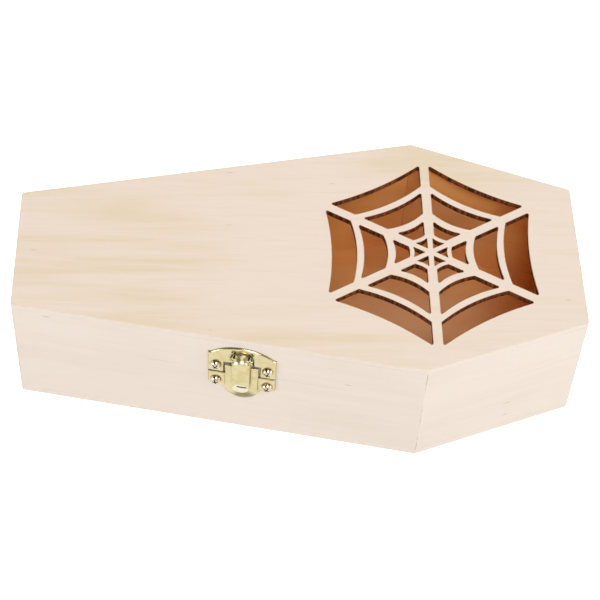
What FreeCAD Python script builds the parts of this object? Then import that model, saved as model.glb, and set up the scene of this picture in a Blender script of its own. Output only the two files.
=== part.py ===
import FreeCAD, Part
import math
import os

# A coffin-shaped wooden keepsake box with a spider web cut through its hinged lid and a brass latch.
# Millimetres. The origin is on the underside, at the middle of the length and on the centreline.
# +X runs from the foot to the head, the latch is on the -Y side, and +Z is up.

V = FreeCAD.Vector
UP = V(0, 0, 1)
OUT_OF_WALL = V(0, -1, 0)
ALONG_WALL = V(1, 0, 0)

# Carcass
foot_to_shoulder = 142.6
shoulder_to_head = 57.4
foot_width = 51.5
shoulder_width = 105.0
head_width = 62.0
total_height = 50.3
lid_depth = 18.5
wall_thickness = 7.5
lid_panel_thickness = 2.2
floor_thickness = 2.7
corner_round = 1.2
top_edge_chamfer = 0.25

# Web cut through the lid. The margin is left beside the spokes that point across the box.
# Rings of thread are listed from the rim inwards, their places as shares of the web's own reach.
# A bow is how far a thread's ends lie beyond its middle.
web_past_shoulder = 4.1
web_edge_margin = 7.7
web_spokes = 6
web_rim_bow = 2.2
thread_places = (0.71, 0.394, 0.187)
thread_widths = (2.6, 2.9, 1.7)
thread_bows = (2.4, 2.4, 1.2)
spoke_width = 3.5
hub_spoke_width = 2.0
cell_corner_cut = 0.8

# Screws, all alike: a round head on a plain shank
screw_head_radius = 1.9
screw_head_height = 0.9
screw_shank_radius = 1.0
screw_length = 5.6
screw_clearance = 0.05

# Butt hinges on the outside of the back long wall
hinge_from_corner = 36.0
hinge_length = 20.0
hinge_knuckles = 3
leaf_thickness = 0.8
leaf_height = 9.5
leaf_corner_cut = 1.0
leaf_screw_from_end = 4.0
knuckle_radius = 1.6
knuckle_clearance = 0.3
knuckle_end_gap = 0.2
hinge_pin_radius = 0.75
hinge_pin_overhang = 0.3
pin_clearance = 0.05

# Latch plates on the front long wall. Heights and drops are measured from the seam below the lid.
latch_from_foot = 81.3
plate_width = 24.0
plate_thickness = 0.8
plate_gap = 0.3
plate_shoulder_height = 10.5
plate_shoulder_step = 1.0
plate_top_band = 2.4
plate_screw_from_edge = 2.6
notch_width = 12.5
notch_height = 5.7
window_height = 12.3
window_margin = 0.5
catch_plate_drop = 7.0
catch_corner_cut = 0.7
tab_clearance = 0.3
tab_rise = 0.7
tab_straight = 7.95
tab_edge_thickness = 0.5
foot_flare = 3.45
foot_angle = 33.0
foot_overlap = 0.3
nose_rise = 0.7
nose_width = 3.0
nose_clearance = 0.3

# Latch tongue: a flat strip rolled round its pin at the top and half round at the bottom
tongue_width = 6.4
tongue_thickness = 0.8
tongue_pin_radius = 0.8
tongue_eye_clearance = 0.2
tongue_eye_below_window = 0.05
tongue_drop = 7.4
slit_drop = 3.6
slit_length = 3.4
slit_height = 0.7
ear_thickness = 0.6
ear_gap = 0.2
ear_wall = 0.5

# Places that follow from the sizes above
seam_height = total_height - lid_depth
lid_panel_low = total_height - lid_panel_thickness
foot_x = -(foot_to_shoulder + shoulder_to_head) / 2
shoulder_x = foot_x + foot_to_shoulder
head_x = shoulder_x + shoulder_to_head
hinge_offset = knuckle_radius + knuckle_clearance
leaf_screw_height = (hinge_offset + leaf_height) / 2
plate_screw_height = catch_plate_drop - plate_screw_from_edge
plate_screw_x = (plate_width + notch_width) / 4
tab_front = tab_rise + plate_thickness
tab_half = notch_width / 2 - tab_clearance
tongue_back = tab_front + nose_rise + nose_clearance
tongue_front = tongue_back + tongue_thickness
tongue_eye_radius = tongue_pin_radius + pin_clearance + tongue_thickness
tongue_pin_offset = plate_thickness + tongue_eye_clearance + tongue_eye_radius
tongue_pin_height = window_height - tongue_eye_below_window - tongue_eye_radius

# The carcass's six walls, anticlockwise from the foot's front corner
wall_names = ("front_long", "front_shoulder", "head", "back_shoulder", "back_long", "foot")
FRONT_LONG = wall_names.index("front_long")
BACK_LONG = wall_names.index("back_long")

# Which half a piece belongs to
LID = 1
BASE = -1


# Helpers

def line(start, end):
    return Part.LineSegment(start, end).toShape()


def chain(points):
    """Straight edges from point to point."""
    return [line(start, end) for start, end in zip(points, points[1:])]


def arc(start, middle, end):
    return Part.Arc(start, middle, end).toShape()


def moved(shape, point):
    copy = shape.copy()
    copy.translate(point)
    return copy


def prism(corners, low, high):
    """A closed level polygon raised from one height to another."""
    block = Part.Face(Part.Wire(chain(corners + corners[:1]))).extrude(UP * (high - low))
    return moved(block, UP * low)


def upright_edges(shape):
    return [edge for edge in shape.Edges if abs(edge.tangentAt(edge.FirstParameter).z) > 0.99]


def edges_on(shape, axis, level):
    """The edges of a shape that lie wholly in the plane at a level along an axis, 0 for X to 2 for Z."""
    found = []
    for edge in shape.Edges:
        box = edge.BoundBox
        low = (box.XMin, box.YMin, box.ZMin)[axis]
        high = (box.XMax, box.YMax, box.ZMax)[axis]
        if abs(low - level) < 0.001 and abs(high - level) < 0.001:
            found.append(edge)
    return found


# The carcass

def inward_normal(start, end):
    """The level direction that points into the box from the wall that runs from start to end."""
    return UP.cross((end - start).normalize())


def outline(inset):
    """The six corners of the coffin shape, moved inwards by inset on every side."""
    corners = [
        V(foot_x, -foot_width / 2, 0),
        V(shoulder_x, -shoulder_width / 2, 0),
        V(head_x, -head_width / 2, 0),
        V(head_x, head_width / 2, 0),
        V(shoulder_x, shoulder_width / 2, 0),
        V(foot_x, foot_width / 2, 0),
    ]
    inner = []
    for i, corner in enumerate(corners):
        before = inward_normal(corners[i - 1], corner)
        after = inward_normal(corner, corners[(i + 1) % len(corners)])
        inner.append(corner + (before + after) * (inset / (1 + before.dot(after))))
    return inner


def coffin_block(low, high):
    """A slice of the whole coffin shape with its upright corners sanded round."""
    block = prism(outline(0), low, high)
    return block.makeFillet(corner_round, upright_edges(block))


def mitred_wall(index, low, high):
    """One wall of the carcass, mitred at both ends where it meets its neighbours."""
    outer = outline(0)
    inner = outline(wall_thickness)
    following = (index + 1) % len(outer)
    plank = prism([outer[index], outer[following], inner[following], inner[index]], low, high)
    return plank.common(coffin_block(low, high)).removeSplitter()


def on_wall(shape, index, along, height):
    """Moves a shape from a wall's own frame, X along the wall and -Y out of it, to its place on the wall."""
    corners = outline(0)
    direction = (corners[(index + 1) % len(corners)] - corners[index]).normalize()
    turn = FreeCAD.Rotation(ALONG_WALL, direction)
    place = FreeCAD.Placement(corners[index] + direction * along + UP * height, turn)
    placed = shape.copy()
    placed.Placement = place.multiply(placed.Placement)
    return placed


def lid_panel():
    panel = coffin_block(lid_panel_low, total_height)
    panel = panel.makeChamfer(top_edge_chamfer, edges_on(panel, 2, total_height))
    return panel.cut(web_cells())


# The web

def web_reach():
    """From the web's centre to the middle of its outermost edge."""
    narrowing = (shoulder_width - head_width) / 2 * web_past_shoulder / shoulder_to_head
    spoke_end = shoulder_width / 2 - narrowing - web_edge_margin
    return spoke_end * math.cos(math.pi / web_spokes) - web_rim_bow


def web_cells():
    """Every opening of the web, ready to be cut through the lid panel."""
    reach = web_reach()
    outer_edges = [(reach, web_rim_bow)]
    inner_edges = []
    for place, width, bow in zip(thread_places, thread_widths, thread_bows):
        inner_edges.append((reach * place + width / 2, bow))
        outer_edges.append((reach * place - width / 2, bow))
    cells = [hub_cell(outer_edges.pop())]
    for outer, inner in zip(outer_edges, inner_edges):
        cells.append(ring_cell(outer, inner))
    centre = V(shoulder_x + web_past_shoulder, 0, lid_panel_low)
    turned = []
    for cell in cells:
        for number in range(web_spokes):
            copy = cell.copy()
            copy.rotate(V(0, 0, 0), UP, 360 * number / web_spokes)
            turned.append(moved(copy, centre))
    return turned


def spoke_points(edge):
    """Where a bowed edge across +X meets the middle lines of its two spokes."""
    middle, bow = edge
    x = middle + bow
    y = x * math.tan(math.pi / web_spokes)
    return V(x, -y, 0), V(x, y, 0)


def ring_cell(outer, inner):
    """The opening between two spokes and two threads, across +X from the web's centre."""
    outer_right, outer_left = spoke_points(outer)
    inner_right, inner_left = spoke_points(inner)
    sides = [line(inner_right, outer_right), arc(outer_right, V(outer[0], 0, 0), outer_left)]
    sides += [line(outer_left, inner_left), arc(inner_left, V(inner[0], 0, 0), inner_right)]
    cell = between_spokes(Part.Wire(sides), spoke_width)
    sharp_corners = [edge for edge in upright_edges(cell) if edge.CenterOfMass.x > outer[0]]
    return cell.makeChamfer(cell_corner_cut, sharp_corners)


def hub_cell(outer):
    """The opening between two spokes inside the last thread, which runs in to the web's centre."""
    right, left = spoke_points(outer)
    hub = V(0, 0, 0)
    sides = [line(hub, right), arc(right, V(outer[0], 0, 0), left), line(left, hub)]
    return between_spokes(Part.Wire(sides), hub_spoke_width)


def between_spokes(wire, width):
    """A wedge of the web as deep as the lid panel, with half a spoke's width taken off each side."""
    cell = Part.Face(wire).extrude(UP * lid_panel_thickness)
    length = cell.BoundBox.DiagonalLength + wire.BoundBox.XMax
    for side in (-1, 1):
        spoke = Part.makeBox(2 * length, width, lid_panel_thickness, V(-length, -width / 2, 0))
        spoke.rotate(V(0, 0, 0), UP, side * 180 / web_spokes)
        cell = cell.cut(spoke)
    return cell


# Hardware, in a wall's own frame

def round_bar(radius, start, end, offset, height):
    """A round bar along the wall, standing out from it by offset."""
    return Part.makeCylinder(radius, end - start, V(start, -offset, height), ALONG_WALL)


def wall_plate(edges, back, front):
    """A flat outline thickened between two distances out from the wall."""
    plate = Part.Face(Part.Wire(edges)).extrude(OUT_OF_WALL * (front - back))
    return moved(plate, OUT_OF_WALL * back)


def extruded_along(edges, width):
    """A side profile drawn out along the wall, equally to both sides."""
    solid = Part.Face(Part.Wire(edges)).extrude(ALONG_WALL * width)
    return moved(solid, ALONG_WALL * (-width / 2))


def screw(seat):
    """A screw driven into the wall, its head seated on a plate as thick as seat."""
    head = Part.makeCylinder(screw_head_radius, screw_head_height, OUT_OF_WALL * seat, OUT_OF_WALL)
    shank = Part.makeCylinder(screw_shank_radius, screw_length, OUT_OF_WALL * seat, OUT_OF_WALL * -1)
    return head.fuse(shank)


def screw_hole(seat):
    """The hole for a screw's shank, through its plate and into the wall behind."""
    radius = screw_shank_radius + screw_clearance
    depth = screw_length + screw_clearance
    return Part.makeCylinder(radius, depth, OUT_OF_WALL * seat, OUT_OF_WALL * -1)


def leaf_screw_points(half):
    """Screw places on one hinge leaf, from the middle of its hinge."""
    x = hinge_length / 2 - leaf_screw_from_end
    return [V(-x, 0, half * leaf_screw_height), V(x, 0, half * leaf_screw_height)]


def plate_screw_points(half):
    """Screw places on one latch plate, from the middle of the latch at the seam."""
    return [V(-plate_screw_x, 0, half * plate_screw_height), V(plate_screw_x, 0, half * plate_screw_height)]


def at_points(shape, points):
    return [moved(shape, point) for point in points]


# Hinges

def hinge_places():
    """The middle of each hinge along the back long wall, which runs from the shoulder to the foot."""
    corners = outline(0)
    wall_length = (corners[BACK_LONG + 1] - corners[BACK_LONG]).Length
    return {"head": hinge_from_corner, "foot": wall_length - hinge_from_corner}


def knuckle_spans(half):
    """Start and end along the hinge of each knuckle of one leaf. The base's leaf has the first knuckle."""
    pitch = hinge_length / hinge_knuckles
    first = 1 if half == LID else 0
    spans = []
    for number in range(first, hinge_knuckles, 2):
        start = number * pitch - hinge_length / 2
        low = start if number == 0 else start + knuckle_end_gap / 2
        end = start + pitch
        high = end if number == hinge_knuckles - 1 else end - knuckle_end_gap / 2
        spans.append((low, high))
    return spans


def hinge_leaf(half):
    """One leaf with its rolled knuckles and screw holes, the hinge's axis at height 0."""
    side = hinge_length / 2
    cut_side = side - leaf_corner_cut
    cut_height = leaf_height - leaf_corner_cut
    right = [V(side, 0, hinge_offset), V(side, 0, cut_height), V(cut_side, 0, leaf_height)]
    left = [V(-point.x, 0, point.z) for point in reversed(right)]
    leaf = wall_plate(chain(right + left + right[:1]), 0, leaf_thickness)
    for low, high in knuckle_spans(half):
        strap_corner = V(low, -leaf_thickness, 0)
        strap = Part.makeBox(high - low, leaf_thickness, hinge_offset, strap_corner)
        leaf = leaf.fuse([strap, round_bar(knuckle_radius, low, high, hinge_offset, 0)])
    bore = round_bar(hinge_pin_radius + pin_clearance, -side, side, hinge_offset, 0)
    leaf = leaf.cut(bore).removeSplitter()
    if half == BASE:
        leaf = leaf.mirror(V(0, 0, 0), UP)
    return leaf.cut(at_points(screw_hole(leaf_thickness), leaf_screw_points(half)))


def hinge_pin():
    end = hinge_length / 2 + hinge_pin_overhang
    return round_bar(hinge_pin_radius, -end, end, hinge_offset, 0)


# Latch

def latch_plate_outline():
    """The lid's latch plate from the front: an arched top, square ears, and a notch below a round window."""
    low = plate_gap / 2
    half = plate_width / 2
    arch_half = half - plate_shoulder_step
    notch_half = notch_width / 2
    window_half = tongue_width / 2 + window_margin
    window_spring = window_height - window_half
    right = [V(arch_half, 0, plate_shoulder_height), V(half, 0, plate_shoulder_height), V(half, 0, low)]
    right += [V(notch_half, 0, low), V(notch_half, 0, notch_height)]
    right += [V(window_half, 0, notch_height), V(window_half, 0, window_spring)]
    left = [V(-point.x, 0, point.z) for point in reversed(right)]
    window = arc(right[-1], V(0, 0, window_height), left[0])
    arch = arc(left[-1], V(0, 0, window_height + plate_top_band), right[0])
    return chain(right) + [window] + chain(left) + [arch]


def pin_ear(side):
    """A square lug folded out of the latch plate beside the tongue, round the tongue's pin."""
    reach = tongue_pin_radius + pin_clearance + ear_wall
    inner = tongue_width / 2 + ear_gap
    start = inner if side > 0 else -inner - ear_thickness
    front = tongue_pin_offset + reach
    return Part.makeBox(ear_thickness, front, 2 * reach, V(start, -front, tongue_pin_height - reach))


def latch_pin_bore():
    reach = plate_width / 2
    return round_bar(tongue_pin_radius + pin_clearance, -reach, reach, tongue_pin_offset, tongue_pin_height)


def latch_plate():
    """The lid's half of the latch, with two ears for the tongue's pin."""
    plate = wall_plate(latch_plate_outline(), 0, plate_thickness)
    plate = plate.fuse([pin_ear(-1), pin_ear(1)])
    holes = at_points(screw_hole(plate_thickness), plate_screw_points(LID))
    return plate.cut([latch_pin_bore()] + holes).removeSplitter()


def latch_pin():
    end = tongue_width / 2 + ear_gap + ear_thickness
    return round_bar(tongue_pin_radius, -end, end, tongue_pin_offset, tongue_pin_height)


def catch_ears():
    """The flat part of the base's latch plate, its two lower corners cut off."""
    half = plate_width / 2
    high = -plate_gap / 2
    right = [V(half, 0, high), V(half, 0, catch_corner_cut - catch_plate_drop)]
    right += [V(half - catch_corner_cut, 0, -catch_plate_drop)]
    left = [V(-point.x, 0, point.z) for point in reversed(right)]
    return wall_plate(chain(right + left + right[:1]), 0, plate_thickness)


def catch_tab():
    """The raised tab: it fills the notch above and is half round below, where it curves back to the wall."""
    top = notch_height - tab_clearance
    bottom = -tab_straight - tab_half
    fall = tab_front - tab_edge_thickness
    bend = (tab_half * tab_half + fall * fall) / (2 * fall)
    half_turn = math.asin(tab_half / bend) / 2
    bend_start = V(0, -tab_front, -tab_straight)
    bend_middle = bend_start + V(0, bend * (1 - math.cos(half_turn)), -bend * math.sin(half_turn))
    bend_end = V(0, -tab_edge_thickness, bottom)
    back = [bend_end, V(0, 0, bottom), V(0, 0, -plate_gap / 2), V(0, -tab_rise, -plate_gap / 2)]
    back += [V(0, -tab_rise, top), V(0, -tab_front, top), bend_start]
    profile = [arc(bend_start, bend_middle, bend_end)] + chain(back)
    sides = [V(tab_half, 0, -tab_straight), V(tab_half, 0, top)]
    sides += [V(-tab_half, 0, top), V(-tab_half, 0, -tab_straight)]
    face = chain(sides) + [arc(sides[-1], V(0, 0, bottom), sides[0])]
    return extruded_along(profile, notch_width).common(wall_plate(face, 0, 2 * tab_front))


def catch_foot():
    """The flat part below the ears, which narrows in two hollow curves to the foot of the tab."""
    turn = math.radians(foot_angle)
    inner = tab_half - foot_overlap
    start = V(tab_half + foot_flare, 0, -catch_plate_drop)
    end = V(inner * math.cos(turn), 0, -tab_straight - inner * math.sin(turn))
    across = start.x - end.x
    drop = start.z - end.z
    radius = (across * across + drop * drop) / (2 * drop)
    centre = start - UP * radius
    middle = centre + (start + end - centre * 2).normalize() * radius
    right = [start, middle, end]
    left = [V(-point.x, 0, point.z) for point in reversed(right)]
    edges = [arc(*right), line(end, left[0]), arc(*left), line(left[-1], start)]
    return wall_plate(edges, 0, plate_thickness)


def catch_plate():
    """The base's half of the latch, with the nose that the tongue's slit drops over."""
    nose = round_bar(nose_rise, -nose_width / 2, nose_width / 2, tab_front, -slit_drop)
    plate = catch_ears().fuse([catch_foot(), catch_tab(), nose])
    holes = at_points(screw_hole(plate_thickness), plate_screw_points(BASE))
    return plate.cut(holes).removeSplitter()


def tongue_outline():
    """The tongue's outline from the front, half round at both ends."""
    half = tongue_width / 2
    top = tongue_pin_height + tongue_eye_radius
    left = [V(-half, 0, top - half), V(-half, 0, half - tongue_drop)]
    right = [V(half, 0, half - tongue_drop), V(half, 0, top - half)]
    edges = chain(left) + [arc(left[1], V(0, 0, -tongue_drop), right[0])]
    return edges + chain(right) + [arc(right[1], V(0, 0, top), left[0])]


def latch_tongue():
    """The tongue: a rolled eye above a flat strip, which has a slit for the nose."""
    half = tongue_width / 2
    strip_corner = V(-half, -tongue_front, -tongue_drop)
    strip = Part.makeBox(tongue_width, tongue_thickness, tongue_drop + tongue_pin_height, strip_corner)
    eye = round_bar(tongue_eye_radius, -half, half, tongue_pin_offset, tongue_pin_height)
    tongue = strip.fuse(eye).common(wall_plate(tongue_outline(), 0, 2 * tongue_front))
    slit_corner = V(-slit_length / 2, -2 * tongue_front, -slit_drop - slit_height / 2)
    slit = Part.makeBox(slit_length, 2 * tongue_front, slit_height, slit_corner)
    return tongue.cut([latch_pin_bore(), slit]).removeSplitter()


# The whole box

def on_latch(shape):
    return on_wall(shape, FRONT_LONG, latch_from_foot, seam_height)


def on_hinge(shape, along):
    return on_wall(shape, BACK_LONG, along, seam_height)


def on_hinges(shape, half):
    """A shape at every leaf screw of one half of the box."""
    shapes = []
    for along in hinge_places().values():
        shapes += [on_hinge(copy, along) for copy in at_points(shape, leaf_screw_points(half))]
    return shapes


def on_plates(shape, half):
    """A shape at every latch screw of one half of the box."""
    return [on_latch(copy) for copy in at_points(shape, plate_screw_points(half))]


def drilled_wall(index, half):
    """One wall of the base or of the lid, with the holes for the screws that go into it."""
    low, high = (seam_height, lid_panel_low) if half == LID else (floor_thickness, seam_height)
    wall = mitred_wall(index, low, high)
    if index == FRONT_LONG:
        return wall.cut(on_plates(screw_hole(plate_thickness), half))
    if index == BACK_LONG:
        return wall.cut(on_hinges(screw_hole(leaf_thickness), half))
    return wall


def all_parts():
    """Every piece of the box by name."""
    parts = {"base_floor_panel": coffin_block(0, floor_thickness), "lid_panel": lid_panel()}
    for index, name in enumerate(wall_names):
        parts["base_" + name + "_wall"] = drilled_wall(index, BASE)
        parts["lid_" + name + "_rim"] = drilled_wall(index, LID)
    for place, along in hinge_places().items():
        parts[place + "_hinge_base_leaf"] = on_hinge(hinge_leaf(BASE), along)
        parts[place + "_hinge_lid_leaf"] = on_hinge(hinge_leaf(LID), along)
        parts[place + "_hinge_pin"] = on_hinge(hinge_pin(), along)
    parts["base_hinge_screws"] = Part.makeCompound(on_hinges(screw(leaf_thickness), BASE))
    parts["lid_hinge_screws"] = Part.makeCompound(on_hinges(screw(leaf_thickness), LID))
    parts["latch_plate_screws"] = Part.makeCompound(on_plates(screw(plate_thickness), LID))
    parts["catch_plate_screws"] = Part.makeCompound(on_plates(screw(plate_thickness), BASE))
    parts["latch_plate"] = on_latch(latch_plate())
    parts["latch_pin"] = on_latch(latch_pin())
    parts["latch_tongue"] = on_latch(latch_tongue())
    parts["catch_plate"] = on_latch(catch_plate())
    return parts


os.makedirs("parts", exist_ok=True)
for node, shape in all_parts().items():
    shape.exportStep("parts/" + node + ".step")
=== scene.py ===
import bmesh
import bpy
import math
from mathutils import Matrix, Quaternion, Vector


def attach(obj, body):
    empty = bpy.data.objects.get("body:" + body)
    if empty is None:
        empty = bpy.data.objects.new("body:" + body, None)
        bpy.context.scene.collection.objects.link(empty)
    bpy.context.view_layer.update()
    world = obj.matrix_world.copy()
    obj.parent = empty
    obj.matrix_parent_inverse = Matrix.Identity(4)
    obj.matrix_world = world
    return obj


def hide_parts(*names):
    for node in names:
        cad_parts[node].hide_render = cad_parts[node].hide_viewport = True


# A coffin-shaped wooden keepsake box with a spider web cut through its hinged lid and a brass latch.
# The box is in metres. The screws and the latch are in millimetres.

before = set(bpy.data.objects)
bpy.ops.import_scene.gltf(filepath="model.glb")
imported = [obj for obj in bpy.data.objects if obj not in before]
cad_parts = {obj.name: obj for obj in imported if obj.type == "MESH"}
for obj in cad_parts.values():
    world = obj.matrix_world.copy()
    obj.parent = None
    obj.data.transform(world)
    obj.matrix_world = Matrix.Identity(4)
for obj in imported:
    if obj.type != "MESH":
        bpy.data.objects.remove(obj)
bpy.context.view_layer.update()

X = (1, 0, 0)
Y = (0, 1, 0)
Z = (0, 0, 1)
DOWN = (0, 0, -1)
LEVEL = (1, 1, 0)
UP = Vector(Z)
MM = 0.001
FULL_TURN = 2 * math.pi
ALONG_BOX = 0

# Places of the colour sockets in Blender's Mix node
mix_factor = 0
mix_first = 6
mix_second = 7
mix_result = 2

# Camera
camera_place = Vector((-27.59, -404.51, 533.2)) * MM
camera_aim = Vector((1.10, -2.41, 25.0)) * MM
camera_roll = 3.875
camera_lens = 106.6
sensor_width = 36

# Lamps: place, width and power
lamps = {
    "front": ((0.214, -1.212, 1.576), 1.0, 21.2),
    "right": ((2.022, -0.736, 0.458), 0.8, 13.2),
    "left": ((-2.022, -0.736, 0.458), 0.8, 11.5),
    "back": ((0.10, 1.25, 1.49), 1.2, 11.1),
    "top": ((0.10, 0.35, 1.80), 0.9, 4.2),
    "low": ((0.0, 1.85, 0.50), 0.8, 5.4),
}

# The sky is pale near the horizon and dark above, so that rounded metal shows its form
sky_pale = 0.73
sky_dark = 0.03
pale_below = 0.40
dark_above = 0.60

# Floor
floor_albedo = 0.75
floor_glow = 0.75
floor_sheen = 0.30
floor_middle = 0.02
floor_radius = 6.0
floor_sides = 64
cove_radius = 0.6
cove_steps = 12

# Colours, linear
wall_pale = (0.833, 0.740, 0.654)
wall_streak = (0.809, 0.706, 0.605)
panel_pale = (0.815, 0.683, 0.580)
panel_streak = (0.750, 0.626, 0.443)
fleck_brown = (0.50, 0.33, 0.18)
inside_pale = (0.85, 0.72, 0.60)
inside_streak = (0.79, 0.63, 0.46)
# Painted bounce light and shade: the deep warm orange of the wood inside a shut box
shut_painted_bounce = (0.98, 0.52, 0.175)
shut_painted_bounce_streak = (0.96, 0.46, 0.135)
burnt_dark = (0.055, 0.016, 0.007)
burnt_brown = (0.26, 0.080, 0.025)
scorch_tan = (0.70, 0.44, 0.24)
glue_brown = (0.22, 0.11, 0.05)
brass_pale = (0.76, 0.67, 0.40)
brass_deep = (0.67, 0.55, 0.25)
# Painted shade: the colour the brass darkens to in its hollows
brass_painted_shade = (0.32, 0.27, 0.12)
bronze_pale = (0.84, 0.68, 0.52)
bronze_deep = (0.64, 0.44, 0.26)
# Painted shade: the colour the screws' bronze darkens to in its hollows
bronze_painted_shade = (0.34, 0.20, 0.10)
# Grime with painted shade: the dark brown in the latch's narrow gaps
grime_and_painted_shade_brown = (0.05, 0.025, 0.012)
# Pale worn plating at the sharp edges, and a painted highlight on the tongue's lip
worn_and_highlight_bright = (0.88, 0.84, 0.68)
# Painted shadow: the olive crescent on the catch tab's foot, under the tongue's lip
olive_painted_shadow = (0.22, 0.19, 0.08)
brass_colours = (brass_pale, brass_deep, brass_painted_shade)
bronze_colours = (bronze_pale, bronze_deep, bronze_painted_shade)

# Patterns: repeats in a metre along the grain and in the two ways across it, detail and roughness
streak_pattern = ((10, 140, 140), 5, 0.65)
patch_pattern = ((13, 30, 30), 2, 0.55)
band_pattern = ((26, 420, 420), 3, 0.55)
fibre_pattern = ((80, 2400, 2400), 3, 0.7)
joint_pattern = ((30, 30, 110), 2, 0.55)
char_pattern = ((900, 900, 160), 3, 0.55)
rub_pattern = ((45, 45, 45), 2, 0.55)
cloud_pattern = ((260, 260, 260), 3, 0.55)
scratch_pattern = ((500, 9000, 9000), 2, 0.55)
scratch_angle = 0.6

# Wood. A pair of limits says where an effect starts and where it is whole, and a pair of shades
# is what a pattern is spread between.
wood_gloss = 0.15
wood_roughness = (0.52, 0.72)
wood_bump = 0.03 * MM
streak_limits = (0.38, 0.66)
patch_limits = (0.42, 0.66)
band_limits = (0.52, 0.74)
band_strength = 0.45
fibre_shades = (0.955, 1.045)
fleck_repeats = (160, 900, 900)
fleck_chance = (0.988, 0.996)
fleck_reach = (0.32, 0.12)
fleck_strength = 0.55
facing_limits = (0.4, 0.6)
edge_samples = 8

# The wood inside: how far it looks for other wood, and how free it is where it is bare or painted warm. The
# warm orange is painted bounce light and shade, for light kept among the wood of the shut box
painted_bounce_reach = 0.25
painted_bounce_samples = 12
painted_bounce_limits = (0.34, 0.20)
inside_gather = 0.05

# Planks: their edges, the glue in the corners and rubbed spots
plank_edge = 0.30 * MM
glue_lean = (0.10, 0.40)
glue_run = (0.44, 0.60)
glue_strength = 0.6
plank_rub_lean = (0.10, 0.45)
plank_rub_run = (0.50, 0.70)
plank_rub_strength = 0.10

# Panels: streaks gather towards the foot and the front, and the cuts of the web are burnt
web_centre = Vector((46.7, 0, 0)) * MM
web_radius = 45.5 * MM
web_fade = 1.0 * MM
foot_limits = (0.05, -0.08)
foot_gather = 0.08
front_limits = (0.03, -0.03)
front_gather = 0.06
side_limits = (0.8, 0.6)
panel_edge = 0.55 * MM
scorch_lean = (0.05, 0.55)
scorch_shades = (0.3, 1.0)
rim_lean = (0.42, 0.70)
rim_shades = (0.4, 1.1)
char_limits = (0.38, 0.66)
panel_rub_lean = (0.10, 0.60)
panel_rub_run = (0.46, 0.66)
panel_rub_strength = 0.35

# Brass
brass_roughness = (0.12, 0.26)
tongue_roughness = (0.28, 0.40)
screw_roughness = (0.08, 0.16)
scratch_bump = 0.004 * MM
cloud_limits = (0.40, 0.80)
worn_edge = 0.2 * MM
worn_lean = (0.15, 0.60)
worn_strength = 0.35
# Painted shade in the hollows: how far it looks, how open a point must be, and how dark it goes
hollow_shade_reach = 3.0 * MM
hollow_shade_samples = 8
hollow_shade_limits = (0.80, 0.45)
hollow_shade_strength = 0.8
# Grime with painted shade in the narrow gaps: how far it looks, how open a point must be, and how dark it
# goes
grime_shade_reach = 1.0 * MM
grime_shade_samples = 12
grime_shade_limits = (0.86, 0.45)
grime_shade_strength = 0.95

# Patches on the latch, a painted highlight on the tongue's lip and a painted shadow on the tab's foot below
# it: colour, strength, middle, and the distances where each one ends and is whole
# Painted highlight: the bright lobe at the foot of the tongue
lip_painted_highlight = (worn_and_highlight_bright, 0.9, (0.0, 3.3, -5.3), 3.4, 2.4)
# Painted shadow under the tongue's lip
foot_painted_shadow = (olive_painted_shadow, 0.85, (1.2, 1.5, -11.8), 5.2, 2.4)

# Meshes: the angle in degrees of a sharp edge, and what counts as an upright face in the CAD
sharp_angle = 35
upright_limit = 0.1
normal_digits = 3

# Screws, and how far each one is turned, in degrees, in its order along the wall
screw_radius = 1.95
screw_shank_radius = 1.0
screw_tip_radius = 0.3
screw_length = 5.6
screw_point_start = 4.2
screw_dome_steps = 9
screw_sides = 40
screw_gap = 1.0
cad_screw_height = 0.9
hinge_screw_height = 0.9
latch_screw_height = 1.75
cross_length = 2.3
cross_width = 0.42
cross_depth = 0.6
latch_plate_turns = (38, 52)
catch_plate_turns = (5, 48)
lid_hinge_turns = (20, 70, 33, 8)
base_hinge_turns = (61, 12, 44, 80)

# Latch, from its middle at the seam: x along the wall, y out of it, z up
latch_middle = Vector((-20.094, -40.740, 31.8)) * MM
plate_half = 12.0
plate_thickness = 0.8
plate_low = 0.15
plate_shoulder = 10.5
plate_peak = 14.7
plate_round = 0.7
plate_round_steps = 5
arch_half = 11.0
arch_steps = 32
notch_half = 6.25
notch_height = 5.7
window_half = 3.7
window_height = 12.3
window_steps = 24
pin_out = 2.65
pin_height = 10.6
lug_inner = 2.9
lug_outer = 3.3
lug_radius = 1.0
lug_steps = 12
ear_low = -7.0
ear_cut = 0.8
flare_start = 9.4
flare_bend = (6.7, -7.2)
flare_end = (4.9, -11.2)
flare_steps = 10
strip_rows = 72
strip_columns = 32
tab_half = 5.95
tab_low = -13.9
tab_high = 5.4
tab_front = 1.5
tab_crown = 0.15
tab_back = 0.7
tab_bend = -5.5
tab_tip = 1.5
tab_edge = 0.25
tab_round = 0.4
tab_foot_slope = 2.4
tab_foot_power = 1.4
tab_foot_height = 2.5
nose_half = 1.5
nose_radius = 0.7
nose_bluntness = 0.6
nose_steps = 16
nose_sides = 16
tongue_half = 3.2
tongue_low = -7.4
tongue_front = 3.3
tongue_thickness = 0.8
tongue_round = 0.35
strip_high = 9.6
hump_half = 3.65
hump_low = 4.9
hump_high = 12.25
hump_back = 0.9
hump_front = 4.6
hump_round = 2.1
hump_crown = 0.35
crease_height = 8.5
crease_sag = 0.42
crease_width = 0.8
lip_start = -3.0
lip_tuck = 0.25
slit_height = -3.6
slit_middle = 0.5
slit_half = 1.7
slit_width = 0.7
slit_depth = 13.2


# Materials

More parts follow.
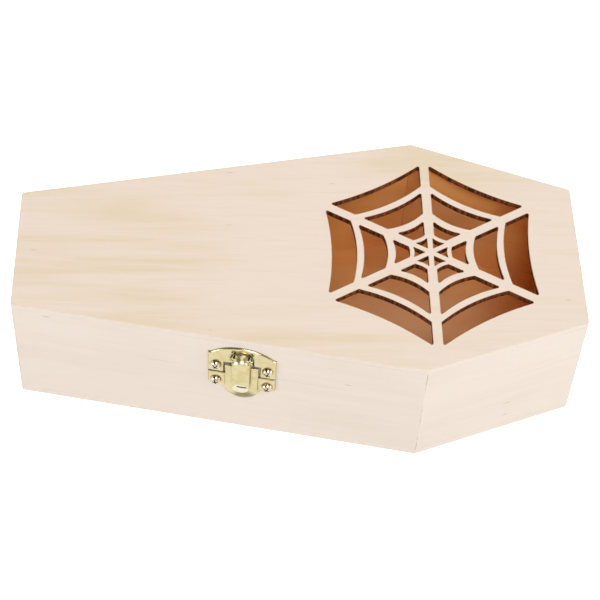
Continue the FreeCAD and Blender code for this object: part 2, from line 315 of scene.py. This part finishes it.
class Shader:
    """Adds nodes to one new material. An input is a plain value or another node's output."""

    def __init__(self, name):
        self.material = bpy.data.materials.new(name)
        self.material.use_nodes = True
        self.tree = self.material.node_tree
        self.surface = self.tree.nodes["Principled BSDF"]
        coordinates = self.add("ShaderNodeTexCoord").outputs
        self.place = coordinates["Object"]
        self.normal = coordinates["Normal"]

    def add(self, kind, inputs=None, **settings):
        node = self.tree.nodes.new(kind)
        for name, value in settings.items():
            setattr(node, name, value)
        for name, value in (inputs or {}).items():
            self.put(node.inputs[name], value)
        return node

    def put(self, socket, value):
        if isinstance(value, bpy.types.NodeSocket):
            self.tree.links.new(value, socket)
        elif socket.type == "RGBA":
            socket.default_value = (*value, 1)
        else:
            socket.default_value = value

    def maths(self, operation, first, second=0.0):
        return self.add("ShaderNodeMath", {0: first, 1: second}, operation=operation).outputs[0]

    def vector(self, operation, first, second):
        return self.add("ShaderNodeVectorMath", {0: first, 1: second}, operation=operation)

    def product(self, *factors):
        result = factors[0]
        for factor in factors[1:]:
            result = self.maths("MULTIPLY", result, factor)
        return result

    def between(self, value, low, high):
        """A smooth step of a value, from 0 at low to 1 at high."""
        inputs = {"Value": value, "From Min": low, "From Max": high}
        return self.add("ShaderNodeMapRange", inputs, interpolation_type="SMOOTHSTEP").outputs["Result"]

    def ranged(self, value, low, high):
        """A value from 0 to 1 spread evenly from low to high."""
        inputs = {"Value": value, "To Min": low, "To Max": high}
        return self.add("ShaderNodeMapRange", inputs).outputs["Result"]

    def mix(self, factor, first, second):
        node = self.add("ShaderNodeMix", data_type="RGBA")
        for socket, value in ((mix_factor, factor), (mix_first, first), (mix_second, second)):
            self.put(node.inputs[socket], value)
        return node.outputs[mix_result]

    def scaled(self, colour, factor):
        node = self.add("ShaderNodeVectorMath", {0: colour, "Scale": factor}, operation="SCALE")
        return node.outputs[0]

    def dot(self, first, second):
        return self.vector("DOT_PRODUCT", first, second).outputs["Value"]

    def length(self, vector):
        return self.vector("LENGTH", vector, (0, 0, 0)).outputs["Value"]

    def along_grain(self, angle, repeats):
        """The object's coordinates turned so that the grain lies along X, then scaled."""
        turned = self.add("ShaderNodeVectorRotate", {"Vector": self.place, "Angle": -angle})
        return self.vector("MULTIPLY", turned.outputs[0], repeats).outputs[0]

    def grain(self, angle, repeats, detail, roughness):
        """Noise that is stretched along an angle."""
        inputs = {"Vector": self.along_grain(angle, repeats), "Scale": 1.0}
        inputs |= {"Detail": detail, "Roughness": roughness}
        return self.add("ShaderNodeTexNoise", inputs).outputs["Fac"]

    def turned(self, direction, start, end):
        """A direction carried between the world's frame and the object's own."""
        settings = {"vector_type": "NORMAL", "convert_from": start, "convert_to": end}
        return self.add("ShaderNodeVectorTransform", {"Vector": direction}, **settings).outputs[0]

    def edge_lean(self, radius):
        """How far the rounded normal leans from the true one near a sharp edge."""
        bevel = self.add("ShaderNodeBevel", {"Radius": radius}, samples=edge_samples).outputs["Normal"]
        return self.vector("SUBTRACT", self.turned(bevel, "WORLD", "OBJECT"), self.normal).outputs[0]

    def openness(self, reach, samples, **inputs):
        """The share of directions from a point that meet nothing within a reach."""
        inputs["Distance"] = reach
        return self.add("ShaderNodeAmbientOcclusion", inputs, samples=samples).outputs["AO"]

    def finish(self, colour, roughness, height, depth):
        bump = self.add("ShaderNodeBump", {"Height": height, "Distance": depth}).outputs["Normal"]
        for name, value in (("Base Color", colour), ("Roughness", roughness), ("Normal", bump)):
            self.put(self.surface.inputs[name], value)
        return self.material


def wood_flecks(s, angle):
    """Short dark pores along an angle, in a few cells of many."""
    cells = s.add("ShaderNodeTexVoronoi", {"Vector": s.along_grain(angle, fleck_repeats), "Scale": 1.0})
    chance = s.between(s.dot(cells.outputs["Color"], X), *fleck_chance)
    return s.product(s.between(cells.outputs["Distance"], *fleck_reach), chance, fleck_strength)


def wood_grain(s, angle, pale, streak, gather):
    """Bare sanded wood along an angle, with more streaks where they gather. Gives its colour and fibres."""
    broad = s.grain(angle, *streak_pattern)
    patch = s.maths("ADD", s.grain(angle, *patch_pattern), gather)
    streaks = s.product(s.between(broad, *streak_limits), s.between(patch, *patch_limits))
    colour = s.mix(streaks, pale, streak)
    band = s.between(s.grain(angle, *band_pattern), *band_limits)
    colour = s.mix(s.product(band, band_strength), colour, streak)
    fibre = s.grain(angle, *fibre_pattern)
    colour = s.scaled(colour, s.ranged(fibre, *fibre_shades))
    return s.mix(wood_flecks(s, angle), colour, fleck_brown), fibre


def inside_grain_and_painted_bounce(s, angle, opening):
    """The wood inside: bare where its half stands open, and painted warm where the other half shuts off the
    light, as painted bounce light and shade.
    """
    free = s.openness(painted_bounce_reach, painted_bounce_samples, Normal=s.turned(opening, "OBJECT", "WORLD"))
    # Painted bounce light: the more shut in a point is, the warmer its colour
    painted_bounce = s.between(free, *painted_bounce_limits)
    pale = s.mix(painted_bounce, inside_pale, shut_painted_bounce)
    streak = s.mix(painted_bounce, inside_streak, shut_painted_bounce_streak)
    return wood_grain(s, angle, pale, streak, inside_gather)[0]


def finish_wood(s, colour, fibre):
    s.put(s.surface.inputs["Specular IOR Level"], wood_gloss)
    return s.finish(colour, s.ranged(fibre, *wood_roughness), fibre, wood_bump)


def plank_wood(name, out, opening):
    """A plank of the carcass, pale outside, with dark glue at its ends and rubbed level edges."""
    s = Shader(name)
    angle = math.atan2(out.x, -out.y)
    colour, fibre = wood_grain(s, angle, wall_pale, wall_streak, gather=0.0)
    inside = s.between(s.dot(s.normal, tuple(-out)), *facing_limits)
    colour = s.mix(inside, colour, inside_grain_and_painted_bounce(s, angle, opening))
    lean = s.edge_lean(plank_edge)
    run = s.grain(ALONG_BOX, *joint_pattern)
    upright = s.length(s.vector("MULTIPLY", lean, LEVEL).outputs[0])
    gap = s.maths("MAXIMUM", s.between(run, *glue_run), inside)
    glue = s.product(s.between(upright, *glue_lean), gap, glue_strength)
    colour = s.mix(glue, colour, glue_brown)
    level = s.between(s.maths("ABSOLUTE", s.dot(lean, Z)), *plank_rub_lean)
    rub = s.product(level, s.between(run, *plank_rub_run), plank_rub_strength)
    return finish_wood(s, s.mix(rub, colour, fleck_brown), fibre)


def streak_gather(s):
    """Where streaks gather on a panel: towards its foot and its front."""
    foot = s.between(s.dot(s.place, X), *foot_limits)
    front = s.between(s.dot(s.place, Y), *front_limits)
    return s.maths("ADD", s.product(foot, foot_gather), s.product(front, front_gather))


def web_circle(s):
    """1 within the web's circle and 0 beyond it."""
    flat = s.vector("MULTIPLY", s.place, LEVEL).outputs[0]
    reach = s.vector("DISTANCE", flat, tuple(web_centre)).outputs["Value"]
    return s.between(reach, web_radius, web_radius - web_fade)


def burnt(s, colour, side, lean, web):
    """A colour with the web's cut sides burnt and the edges beside them scorched."""
    char = s.grain(ALONG_BOX, *char_pattern)
    scorch = s.product(s.between(lean, *scorch_lean), web, s.ranged(char, *scorch_shades))
    colour = s.mix(scorch, colour, scorch_tan)
    rim = s.product(s.between(lean, *rim_lean), web, s.ranged(char, *rim_shades))
    colour = s.mix(rim, colour, burnt_brown)
    black = s.mix(s.between(char, *char_limits), burnt_dark, burnt_brown)
    return s.mix(s.product(side, web), colour, black)


def panel_wood(name, inner_side):
    """A thin panel with its grain along the box, burnt where the web is cut through it."""
    s = Shader(name)
    colour, fibre = wood_grain(s, ALONG_BOX, panel_pale, panel_streak, streak_gather(s))
    side = s.between(s.maths("ABSOLUTE", s.dot(s.normal, Z)), *side_limits)
    side_colour = wood_grain(s, ALONG_BOX, wall_pale, wall_streak, gather=0.0)[0]
    colour = s.mix(side, colour, side_colour)
    inside = s.between(s.dot(s.normal, inner_side), *facing_limits)
    colour = s.mix(inside, colour, inside_grain_and_painted_bounce(s, ALONG_BOX, inner_side))
    lean = s.length(s.edge_lean(panel_edge))
    web = web_circle(s)
    colour = burnt(s, colour, side, lean, web)
    run = s.between(s.grain(ALONG_BOX, *rub_pattern), *panel_rub_run)
    beyond = s.between(web, 1.0, 0.0)
    rub = s.product(s.between(lean, *panel_rub_lean), beyond, run, panel_rub_strength)
    return finish_wood(s, s.mix(rub, colour, fleck_brown), fibre)


def patched(s, colour, patch, strength, middle, far, near):
    """A colour with a round patch of another one near a point of the latch."""
    point = tuple(latch_place() @ Vector(middle))
    distance = s.vector("DISTANCE", s.place, point).outputs["Value"]
    return s.mix(s.product(s.between(distance, far * MM, near * MM), strength), colour, patch)


def bright_brass(name, colours, roughness, patch=None):
    """Thin bright brass plating: fine scratches, deeper patches, worn edges, painted shade in its hollows,
    and grime with painted shade in the gaps.
    """
    s = Shader(name)
    s.put(s.surface.inputs["Metallic"], 1.0)
    pale, deep, painted_shade = colours
    colour = s.mix(s.between(s.grain(ALONG_BOX, *cloud_pattern), *cloud_limits), pale, deep)
    if patch:
        colour = patched(s, colour, *patch)
    worn = s.between(s.length(s.edge_lean(worn_edge)), *worn_lean)
    colour = s.mix(s.product(worn, worn_strength), colour, worn_and_highlight_bright)
    # Painted shade: darker where other surfaces close round a point
    hollow_shade = s.between(s.openness(hollow_shade_reach, hollow_shade_samples), *hollow_shade_limits)
    colour = s.mix(s.product(hollow_shade, hollow_shade_strength), colour, painted_shade)
    # Grime with painted shade: dark brown in the narrow gaps
    gap = s.between(s.openness(grime_shade_reach, grime_shade_samples), *grime_shade_limits)
    colour = s.mix(s.product(gap, grime_shade_strength), colour, grime_and_painted_shade_brown)
    scratch = s.grain(scratch_angle, *scratch_pattern)
    return s.finish(colour, s.ranged(scratch, *roughness), scratch, scratch_bump)


def dress(names, material):
    """Gives CAD nodes a material in place of their plain ones."""
    for name in names:
        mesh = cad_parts[name].data
        mesh.materials.clear()
        mesh.materials.append(material)


def outward(node):
    """The level direction out of the box from a plank's outer face."""
    areas = {}
    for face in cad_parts[node].data.polygons:
        if face.normal.dot(face.center) > 0 and abs(face.normal.z) < upright_limit:
            direction = tuple(round(part, normal_digits) for part in face.normal)
            areas[direction] = areas.get(direction, 0) + face.area
    return Vector(max(areas, key=areas.get)).normalized()


def dress_box(brass):
    for side in ("front_long", "front_shoulder", "head", "back_shoulder", "back_long", "foot"):
        for node, opening in (("base_" + side + "_wall", Z), ("lid_" + side + "_rim", DOWN)):
            dress([node], plank_wood(node + "_wood", outward(node), opening))
    dress(["lid_panel"], panel_wood("lid_ply", DOWN))
    dress(["base_floor_panel"], panel_wood("floor_ply", Z))
    dress(["latch_plate", "catch_plate", "latch_tongue", "latch_pin"], brass)
    for place in ("head", "foot"):
        dress([place + "_hinge_base_leaf", place + "_hinge_lid_leaf", place + "_hinge_pin"], brass)


# Pieces

def circle(radius, height, sides):
    """A level ring of points round Z."""
    turns = [FULL_TURN * i / sides for i in range(sides)]
    return [(radius * math.cos(t), radius * math.sin(t), height) for t in turns]


def rings_joined(mesh, rings, capped=(0, -1)):
    """Joins closed rings of points, all of one length, into a skin, with a cap on each ring named."""
    made = [[mesh.verts.new(point) for point in ring] for ring in rings]
    count = len(made[0])
    for low, high in zip(made, made[1:]):
        for i in range(count):
            j = (i + 1) % count
            mesh.faces.new((low[i], low[j], high[j], high[i]))
    for number in capped:
        mesh.faces.new(made[number])


def add_piece(name, mesh, place, body, node, material):
    """Puts a mesh at its place as a piece that rides a body and stands for a CAD node."""
    bmesh.ops.transform(mesh, matrix=place, verts=mesh.verts)
    bmesh.ops.recalc_face_normals(mesh, faces=mesh.faces)
    data = bpy.data.meshes.new(name)
    mesh.to_mesh(data)
    mesh.free()
    data.shade_smooth()
    data.set_sharp_from_angle(angle=math.radians(sharp_angle))
    data.materials.append(material)
    piece = bpy.data.objects.new(name, data)
    bpy.context.scene.collection.objects.link(piece)
    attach(piece, body)
    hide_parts(node)


def cut_out(mesh, cutter):
    """The first mesh with the second one taken out of it."""
    objects = []
    for shape in (mesh, cutter):
        bmesh.ops.recalc_face_normals(shape, faces=shape.faces)
        data = bpy.data.meshes.new("shape")
        shape.to_mesh(data)
        shape.free()
        objects.append(bpy.data.objects.new("shape", data))
        bpy.context.scene.collection.objects.link(objects[-1])
    taken = objects[0].modifiers.new("cut", "BOOLEAN")
    taken.object = objects[1]
    whole = objects[0].evaluated_get(bpy.context.evaluated_depsgraph_get())
    result = bmesh.new()
    result.from_mesh(whole.to_mesh())
    whole.to_mesh_clear()
    for shape in objects:
        bpy.data.objects.remove(shape)
    return result


def block(size, middle, turn=0.0):
    """A plain block turned about Z, for cutting with."""
    mesh = bmesh.new()
    bmesh.ops.create_cube(mesh, size=1)
    place = Matrix.Translation(middle) @ Matrix.Rotation(turn, 4, "Z") @ Matrix.Diagonal((*size, 1))
    mesh.transform(place)
    return mesh


def screw_shape(height):
    """A domed cross-head screw along Z, its seat at height 0."""
    ball = (screw_radius ** 2 + height ** 2) / (2 * height)
    lean = math.asin(screw_radius / ball)
    profile = [(screw_tip_radius, -screw_length), (screw_shank_radius, -screw_point_start)]
    profile.append((screw_shank_radius, 0))
    for i in range(screw_dome_steps):
        t = lean * (1 - i / screw_dome_steps)
        profile.append((ball * math.sin(t), height - ball + ball * math.cos(t)))
    mesh = bmesh.new()
    rings_joined(mesh, [circle(radius, z, screw_sides) for radius, z in profile])
    for turn in (0, math.pi / 2):
        size = (cross_length, cross_width, 2 * cross_depth)
        mesh = cut_out(mesh, block(size, (0, 0, height), turn))
    return mesh


def screw_seats(node, out):
    """The middle of each screw's seat in a CAD node, from its points sorted along the wall."""
    along = UP.cross(out)
    points = sorted((vertex.co.copy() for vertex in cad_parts[node].data.vertices), key=along.dot)
    groups = [[points[0]]]
    for before, point in zip(points, points[1:]):
        if (point - before).dot(along) > screw_gap * MM:
            groups.append([])
        groups[-1].append(point)
    seats = []
    for group in groups:
        middle = (group[0].dot(along) + group[-1].dot(along)) / 2
        height = (min(p.z for p in group) + max(p.z for p in group)) / 2
        top = max(p.dot(out) for p in group)
        seats.append(along * middle + UP * height + out * (top - cad_screw_height * MM))
    return seats


def add_screws(node, body, out, height, turns, brass):
    """Domed cross-head screws in place of a CAD node's plain ones."""
    whole = bmesh.new()
    upright = UP.rotation_difference(out)
    for seat, turn in zip(screw_seats(node, out), turns):
        one = screw_shape(height)
        spun = (upright @ Quaternion(UP, math.radians(turn))).to_matrix().to_4x4()
        one.transform(Matrix.Translation(seat) @ spun @ Matrix.Scale(MM, 4))
        data = bpy.data.meshes.new("screw")
        one.to_mesh(data)
        one.free()
        whole.from_mesh(data)
        bpy.data.meshes.remove(data)
    add_piece(node + "_crossed", whole, Matrix.Identity(4), body, node, brass)


def all_screws(brass):
    front = outward("base_front_long_wall")
    back = outward("base_back_long_wall")
    add_screws("latch_plate_screws", "lid", front, latch_screw_height, latch_plate_turns, brass)
    add_screws("catch_plate_screws", "base", front, latch_screw_height, catch_plate_turns, brass)
    add_screws("lid_hinge_screws", "lid", back, hinge_screw_height, lid_hinge_turns, brass)
    add_screws("base_hinge_screws", "base", back, hinge_screw_height, base_hinge_turns, brass)


def latch_place():
    """The matrix from the latch's own millimetres to the box's frame."""
    out = outward("base_front_long_wall")
    along = UP.cross(out)
    turn = Matrix((along, out, UP)).transposed().to_4x4()
    return Matrix.Translation(latch_middle) @ turn @ Matrix.Scale(MM, 4)


def arc_points(start, middle, end, steps):
    """Points on the circle through three points, from start to end."""
    (ax, az), (bx, bz), (cx, cz) = start, middle, end
    d = 2 * (ax * (bz - cz) + bx * (cz - az) + cx * (az - bz))
    a, b, c = ax * ax + az * az, bx * bx + bz * bz, cx * cx + cz * cz
    ox = (a * (bz - cz) + b * (cz - az) + c * (az - bz)) / d
    oz = (a * (cx - bx) + b * (ax - cx) + c * (bx - ax)) / d
    radius = math.hypot(ax - ox, az - oz)
    first, mid, last = (math.atan2(z - oz, x - ox) for x, z in (start, middle, end))
    sweep = (last - first) % FULL_TURN
    if (mid - first) % FULL_TURN > sweep:
        sweep -= FULL_TURN
    angles = [first + sweep * i / steps for i in range(steps + 1)]
    return [(ox + radius * math.cos(t), oz + radius * math.sin(t)) for t in angles]


def flat_plate(mesh, outline, thickness):
    """A plate on the wall from its outline, its front edges rounded over."""
    back = mesh.faces.new([mesh.verts.new((x, 0, z)) for x, z in outline])
    made = bmesh.ops.extrude_face_region(mesh, geom=[back])["geom"]
    front = [item for item in made if isinstance(item, bmesh.types.BMVert)]
    bmesh.ops.translate(mesh, verts=front, vec=(0, thickness, 0))
    rim = [item for item in made if isinstance(item, bmesh.types.BMEdge)]
    round_over = {"offset": plate_round, "segments": plate_round_steps, "profile": 0.5}
    bmesh.ops.bevel(mesh, geom=rim, affect="EDGES", **round_over)


def flipped(right):
    """The left half of an outline, upwards, from its right half, downwards."""
    return [(-x, z) for x, z in reversed(right)]


def add_latch_plate(place, brass):
    """The lid's latch plate: arched top, a notch below a round window, and lugs for the pin."""
    arch = arc_points((-arch_half, plate_shoulder), (0, plate_peak), (arch_half, plate_shoulder), arch_steps)
    spring = window_height - window_half
    window = arc_points((window_half, spring), (0, window_height), (-window_half, spring), window_steps)
    right = [(plate_half, plate_shoulder), (plate_half, plate_low), (notch_half, plate_low)]
    right += [(notch_half, notch_height), (window_half, notch_height)]
    mesh = bmesh.new()
    flat_plate(mesh, arch + right + window + flipped(right), plate_thickness)
    lug_low = pin_height - lug_radius
    lug_high = pin_height + lug_radius
    lug = arc_points((pin_out, lug_low), (pin_out + lug_radius, pin_height), (pin_out, lug_high), lug_steps)
    lug += [(0, lug_high), (0, lug_low)]
    for side in (-1, 1):
        rings_joined(mesh, [[(side * x, y, z) for y, z in lug] for x in (lug_inner, lug_outer)])
    add_piece("latch_plate_pressed", mesh, place, "lid", "latch_plate", brass)


def strip_half(z, half, low, high, round_top):
    """Half the width of an upright strip at a height. Its foot is half-round, and its top too or square."""
    beyond = max(low + half - z, z - high + half if round_top else 0, 0)
    return math.sqrt(max(half * half - beyond * beyond, 0))


def strip_inset(x, z, half, low, high, round_top):
    """How far a point is inside the edge of that strip."""
    top = high - half if round_top else high
    middle = min(max(z, low + half), top)
    inset = half - math.hypot(x, z - middle)
    return inset if round_top else min(inset, high - z)


def pressed_strip(mesh, half, low, high, round_top, front, back):
    """A closed pressed strip between two surfaces, each given by the place and its distance from the edge."""
    rings = []
    for row in range(strip_rows):
        z = low + (high - low) * (1 - math.cos(math.pi * (row + 0.5) / strip_rows)) / 2
        reach = strip_half(z, half, low, high, round_top)
        xs = [-reach * math.cos(math.pi * i / strip_columns) for i in range(strip_columns + 1)]
        ring = []
        for line, surface in ((xs, front), (reversed(xs), back)):
            for x in line:
                inset = max(strip_inset(x, z, half, low, high, round_top), 0)
                ring.append((x, surface(x, z, inset), z))
        rings.append(ring)
    rings_joined(mesh, rings)


def smooth_step(value, low, high):
    t = min(max((value - low) / (high - low), 0), 1)
    return t * t * (3 - 2 * t)


def blended(first, second, share):
    return first + (second - first) * share


def rounded(inset, radius):
    """The height of a quarter-round edge, from 0 at the edge to 1 at the radius."""
    return math.sqrt(1 - (1 - min(inset / radius, 1)) ** 2)


def tab_surface(x, z, inset):
    """The catch tab's front: slightly crowned, with tight edges above and a sloping foot."""
    below = max(tab_bend - z, 0) / (tab_bend - tab_low)
    face = blended(tab_front, tab_tip, below ** 2) - tab_crown * (x / tab_half) ** 2
    slope = 1 - (1 - min(inset / tab_foot_slope, 1)) ** tab_foot_power
    tight = smooth_step(z, tab_low + tab_foot_height, tab_bend)
    rise = blended(slope, rounded(inset, tab_round), tight)
    return blended(tab_back if z > 0 else tab_edge, face, rise)


def tab_underside(x, z, inset):
    return tab_back if z > 0 else 0.0


def lip_bend(z):
    below = max(lip_start - z, 0) / (lip_start - tongue_low)
    return -lip_tuck * below ** 2


def tongue_surface(x, z, inset):
    """The tongue's front: flat, with a lip tucked in at its foot."""
    edge = tongue_front - tongue_thickness / 2
    return blended(edge, tongue_front, rounded(inset, tongue_round)) + lip_bend(z)


def tongue_underside(x, z, inset):
    return tongue_surface(x, z, inset) - tongue_thickness * rounded(inset, tongue_round)


def hump_surface(x, z, inset):
    """The domed hump over the pin, which falls behind the tongue's face below an arched crease."""
    front = hump_front - hump_crown * (x / hump_half) ** 2
    dome = blended(hump_back, front, rounded(inset, hump_round))
    crease = crease_height - crease_sag * x * x
    return blended(hump_back, dome, smooth_step(z, crease - crease_width, crease))


def hump_underside(x, z, inset):
    return hump_back


def flare_points():
    """The curve from the catch plate's right ear down to the foot of its tab."""
    points = []
    for i in range(flare_steps + 1):
        t = i / flare_steps
        corners = zip((flare_start, ear_low), flare_bend, flare_end)
        points.append(tuple((1 - t) ** 2 * a + 2 * t * (1 - t) * b + t * t * c for a, b, c in corners))
    return points


def nose_rings():
    """A short blunt bar along X on the front of the tab."""
    turns = [FULL_TURN * i / nose_sides for i in range(nose_sides)]
    rings = []
    for i in range(1, nose_steps):
        t = math.pi * i / nose_steps
        x = slit_middle - nose_half * math.cos(t)
        radius = nose_radius * math.sin(t) ** nose_bluntness
        ring = [(radius * math.cos(a), radius * math.sin(a)) for a in turns]
        rings.append([(x, tab_front + y, slit_height + z) for y, z in ring])
    return rings


def add_catch_plate(place, brass):
    """The base's latch plate: flat ears that flare into a raised tab, and a nose behind the tongue's slit."""
    right = [(plate_half, -plate_low), (plate_half, ear_low + ear_cut), (plate_half - ear_cut, ear_low)]
    right += flare_points()
    mesh = bmesh.new()
    flat_plate(mesh, right + flipped(right), plate_thickness)
    pressed_strip(mesh, tab_half, tab_low, tab_high, False, tab_surface, tab_underside)
    rings_joined(mesh, nose_rings())
    add_piece("catch_plate_pressed", mesh, place, "base", "catch_plate", brass)


def add_tongue(place, brass):
    """The swinging tongue, with a slit in front of the nose and a hump over the pin."""
    mesh = bmesh.new()
    pressed_strip(mesh, tongue_half, tongue_low, strip_high, True, tongue_surface, tongue_underside)
    slit = block((2 * slit_half, slit_depth, slit_width), (slit_middle, tongue_front, slit_height))
    mesh = cut_out(mesh, slit)
    pressed_strip(mesh, hump_half, hump_low, hump_high, True, hump_surface, hump_underside)
    add_piece("latch_tongue_pressed", mesh, place, "latch_tongue", "latch_tongue", brass)


# Stage

def floor_white():
    """Pale, and lifted to white for the camera and a little for mirrored rays, with the shadow kept."""
    s = Shader("floor_white")
    path = s.add("ShaderNodeLightPath").outputs
    mirrored = s.maths("MAXIMUM", path["Is Glossy Ray"], path["Is Transmission Ray"])
    glow = s.maths("ADD", s.product(path["Is Camera Ray"], floor_glow), s.product(mirrored, floor_sheen))
    inputs = {"Base Color": (floor_albedo, floor_albedo, floor_albedo), "Roughness": 1.0}
    inputs |= {"Emission Color": (1, 1, 1), "Emission Strength": glow}
    for name, value in inputs.items():
        s.put(s.surface.inputs[name], value)
    return s.material


def add_floor():
    """A floor that curves up into a low wall all round."""
    profile = [(floor_middle, 0), (floor_radius, 0)]
    for i in range(1, cove_steps + 1):
        t = math.pi / 2 * i / cove_steps
        profile.append((floor_radius + cove_radius * math.sin(t), cove_radius * (1 - math.cos(t))))
    mesh = bmesh.new()
    rings_joined(mesh, [circle(radius, z, floor_sides) for radius, z in profile], capped=(0,))
    data = bpy.data.meshes.new("floor")
    mesh.to_mesh(data)
    mesh.free()
    data.shade_smooth()
    data.materials.append(floor_white())
    floor = bpy.data.objects.new("floor", data)
    bpy.context.scene.collection.objects.link(floor)


def add_sky():
    """A sky that is white to the camera, and to everything else pale below and dark above."""
    world = bpy.data.worlds.new("studio")
    world.use_nodes = True
    nodes = world.node_tree.nodes
    links = world.node_tree.links
    sky = nodes["Background"]
    sky.inputs["Color"].default_value = (1, 1, 1, 1)
    direction = nodes.new("ShaderNodeSeparateXYZ")
    links.new(nodes.new("ShaderNodeTexCoord").outputs["Generated"], direction.inputs[0])
    climb = nodes.new("ShaderNodeMapRange")
    climb.interpolation_type = "SMOOTHSTEP"
    links.new(direction.outputs["Z"], climb.inputs["Value"])
    limits = {"From Min": pale_below, "From Max": dark_above, "To Min": sky_pale, "To Max": sky_dark}
    for name, value in limits.items():
        climb.inputs[name].default_value = value
    strength = nodes.new("ShaderNodeMath")
    strength.operation = "MAXIMUM"
    links.new(climb.outputs["Result"], strength.inputs[0])
    links.new(nodes.new("ShaderNodeLightPath").outputs["Is Camera Ray"], strength.inputs[1])
    links.new(strength.outputs[0], sky.inputs["Strength"])
    bpy.context.scene.world = world


def add_lamp(name, place, width, power):
    """A square lamp that points at the box."""
    data = bpy.data.lights.new(name, "AREA")
    data.size = width
    data.energy = power
    lamp = bpy.data.objects.new(name, data)
    lamp.location = place
    lamp.rotation_euler = (-Vector(place)).to_track_quat("-Z", "Y").to_euler()
    bpy.context.scene.collection.objects.link(lamp)


def add_camera():
    data = bpy.data.cameras.new("camera")
    data.lens = camera_lens
    data.sensor_width = sensor_width
    camera = bpy.data.objects.new("camera", data)
    camera.location = camera_place
    look = (camera_aim - camera_place).to_track_quat("-Z", "Y")
    camera.rotation_mode = "QUATERNION"
    camera.rotation_quaternion = look @ Quaternion(UP, math.radians(camera_roll))
    bpy.context.scene.collection.objects.link(camera)
    bpy.context.scene.camera = camera


def build():
    brass = bright_brass("bright_brass", brass_colours, brass_roughness)
    dress_box(brass)
    all_screws(bright_brass("screw_bronze", bronze_colours, screw_roughness))
    place = latch_place()
    add_latch_plate(place, brass)
    # The catch plate's brass carries a painted shadow under the tongue
    add_catch_plate(place, bright_brass("catch_brass", brass_colours, brass_roughness, foot_painted_shadow))
    # The tongue's brass carries a painted highlight on its lip
    add_tongue(place, bright_brass("tongue_brass", brass_colours, tongue_roughness, lip_painted_highlight))
    add_floor()
    add_sky()
    for name, lamp in lamps.items():
        add_lamp(name, *lamp)
    add_camera()


build()
bpy.context.scene.view_settings.view_transform = "Standard"
